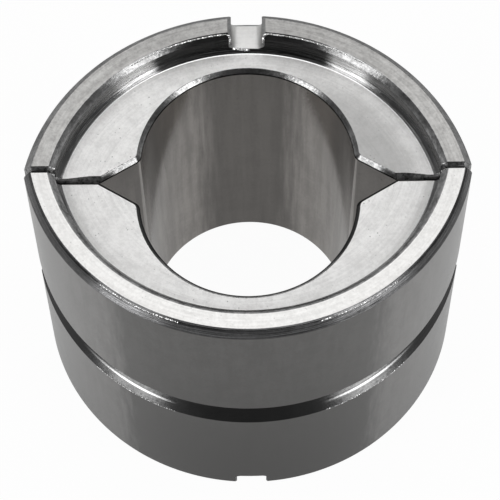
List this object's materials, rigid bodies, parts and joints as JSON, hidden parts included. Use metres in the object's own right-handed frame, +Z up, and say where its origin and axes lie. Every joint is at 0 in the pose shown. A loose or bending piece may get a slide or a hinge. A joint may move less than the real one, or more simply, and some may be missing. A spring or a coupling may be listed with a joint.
{
  "type": "crimping die",
  "caption": "Half-ring crimping dies closed on their parting plane, with a round flared nest, recessed ends, a V groove round the outside and a locating notch in the rim.",
  "frame": {"origin": "centre of the closed pair's lower end, on the parting plane", "axes": "+Z up along the nest, +Y from the parting plane towards the half whose notch is at the top, +X along the parting plane"},
  "size_m": [0.0432, 0.036, 0.036],
  "materials": {
    "tool_steel": "turned and polished, unplated"
  },
  "bodies": {
    "root": {"rear_die_half": "tool_steel", "front_die_half": "tool_steel"}
  },
  "joints": []
}
